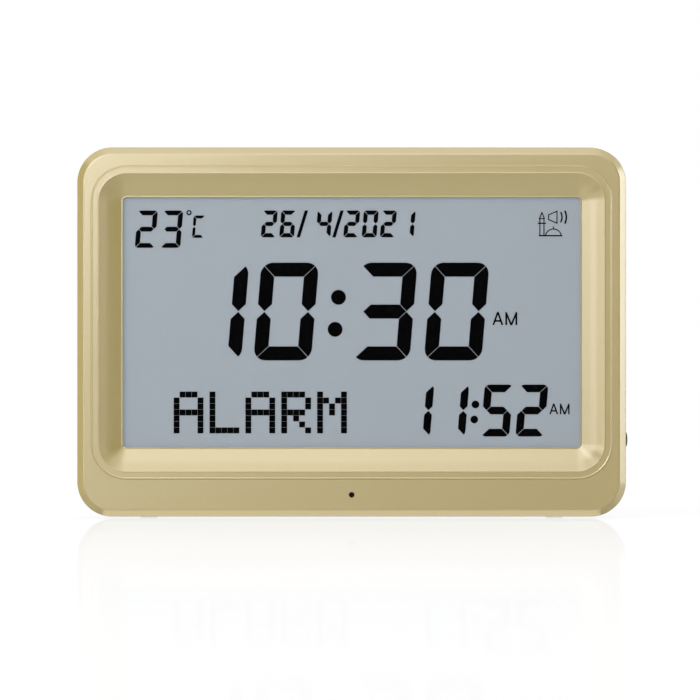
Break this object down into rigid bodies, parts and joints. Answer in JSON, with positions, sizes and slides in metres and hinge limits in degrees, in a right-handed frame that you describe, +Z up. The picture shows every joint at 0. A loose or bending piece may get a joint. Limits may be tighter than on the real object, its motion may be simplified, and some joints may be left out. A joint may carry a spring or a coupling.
{
  "type": "azan clock",
  "caption": "Desk and wall azan clock with a large LCD in a champagne-gold frame, folding leg, rear keys, speaker, battery bay and side button.",
  "frame": {"origin": "on the table under the middle of the case, in the plane of the foot pads' undersides", "axes": "+X to the right seen from the front, +Y from the display to the back, +Z up"},
  "size_m": [0.2306, 0.034, 0.1555],
  "materials": {
    "gold_case": "satin champagne-gold metallic paint on moulded ABS",
    "black_cover": "fine spark-eroded texture on near-black ABS",
    "key_black": "smooth satin black ABS",
    "clear_window": "clear acrylic with an anti-glare front",
    "lcd_film": "grey-blue reflective polarizer film",
    "lcd_glass": "clear soda-lime glass",
    "lcd_ink": "switched liquid crystal segments, black",
    "ribbon_amber": "amber polyimide flat cable",
    "light_guide": "clear acrylic sheet, etched at the back",
    "white_film": "white reflector film and lamp strip",
    "holder_nylon": "natural nylon, as moulded",
    "board_green": "green solder mask on glass-fibre board",
    "chip_black": "black moulding compound",
    "bright_steel": "zinc-plated steel",
    "tinned_steel": "nickel-plated spring steel",
    "capacitor_sleeve": "dark blue heat-shrunk sleeve",
    "ferrite": "sintered ferrite",
    "paper_cone": "black coated paper",
    "foam_gasket": "black foam ring",
    "cell_sleeve": "plain green sleeve",
    "lead_sleeve": "red PVC insulation",
    "foot_rubber": "clear silicone, slightly cloudy",
    "smoked_lens": "smoked acrylic, polished"
  },
  "bodies": {
    "case": {"front_frame": "gold_case", "display_window": "clear_window", "lcd_front_polarizer": "lcd_film", "lcd_front_glass": "lcd_glass", "lcd_rear_glass": "lcd_glass", "lcd_rear_polarizer": "lcd_film", "time_segments": "lcd_ink", "date_segments": "lcd_ink", "temperature_segments": "lcd_ink", "alarm_time_segments": "lcd_ink", "word_dots": "lcd_ink", "status_icon": "lcd_ink", "am_marks": "lcd_ink", "lcd_ribbon": "ribbon_amber", "light_guide": "light_guide", "reflector_sheet": "white_film", "led_strip": "white_film", "lcd_holder": "holder_nylon", "main_board": "board_green", "controller_chip": "chip_black", "amplifier_chip": "chip_black", "crystal": "bright_steel", "board_capacitors": "capacitor_sleeve", "backup_cell": "tinned_steel", "board_sockets": "holder_nylon", "key_switches": "chip_black", "sensor_board": "board_green", "light_sensor": "chip_black", "sensor_lens": "smoked_lens", "side_board": "board_green", "side_switch": "chip_black", "rear_cover": "black_cover", "speaker_basket": "bright_steel", "speaker_magnet": "ferrite", "speaker_cone": "paper_cone", "speaker_gasket": "foam_gasket", "battery_contacts": "tinned_steel", "aa_cells": "cell_sleeve", "dc_jack": "chip_black", "speaker_leads": "lead_sleeve", "battery_leads": "lead_sleeve", "dc_leads": "lead_sleeve", "case_screws": "bright_steel", "board_screws": "bright_steel", "holder_screws": "bright_steel", "speaker_screws": "bright_steel", "foot_pads": "foot_rubber", "stand_pin": "bright_steel"},
    "leg": {"stand_leg": "black_cover"},
    "door": {"battery_door": "black_cover"},
    "side_key": {"side_button": "key_black"},
    "mode_key": {"key_mode": "key_black"},
    "set_key": {"key_set": "key_black"},
    "up_key": {"key_up": "key_black"},
    "down_key": {"key_down": "key_black"},
    "alarm_key": {"key_alarm": "key_black"}
  },
  "joints": [
    {"name": "leg_hinge", "type": "hinge", "parent": "case", "child": "leg", "pos_m": [0, 0.0149, 0.09], "axis": [1, 0, 0], "range_deg": [0, 30]},
    {"name": "door_slide", "type": "slide", "parent": "case", "child": "door", "axis": [1, 0, 0], "range_m": [0, 0.064]},
    {"name": "side_key_press", "type": "slide", "parent": "case", "child": "side_key", "axis": [-1, 0, 0], "range_m": [0, 0.0006], "stiffness_N_per_m": 1500, "springref_m": -0.0006},
    {"name": "mode_key_press", "type": "slide", "parent": "case", "child": "mode_key", "axis": [0, -1, 0], "range_m": [0, 0.0005], "stiffness_N_per_m": 1500, "springref_m": -0.0006},
    {"name": "set_key_press", "type": "slide", "parent": "case", "child": "set_key", "axis": [0, -1, 0], "range_m": [0, 0.0005], "stiffness_N_per_m": 1500, "springref_m": -0.0006},
    {"name": "up_key_press", "type": "slide", "parent": "case", "child": "up_key", "axis": [0, -1, 0], "range_m": [0, 0.0005], "stiffness_N_per_m": 1500, "springref_m": -0.0006},
    {"name": "down_key_press", "type": "slide", "parent": "case", "child": "down_key", "axis": [0, -1, 0], "range_m": [0, 0.0005], "stiffness_N_per_m": 1500, "springref_m": -0.0006},
    {"name": "alarm_key_press", "type": "slide", "parent": "case", "child": "alarm_key", "axis": [0, -1, 0], "range_m": [0, 0.0005], "stiffness_N_per_m": 1500, "springref_m": -0.0006}
  ]
}
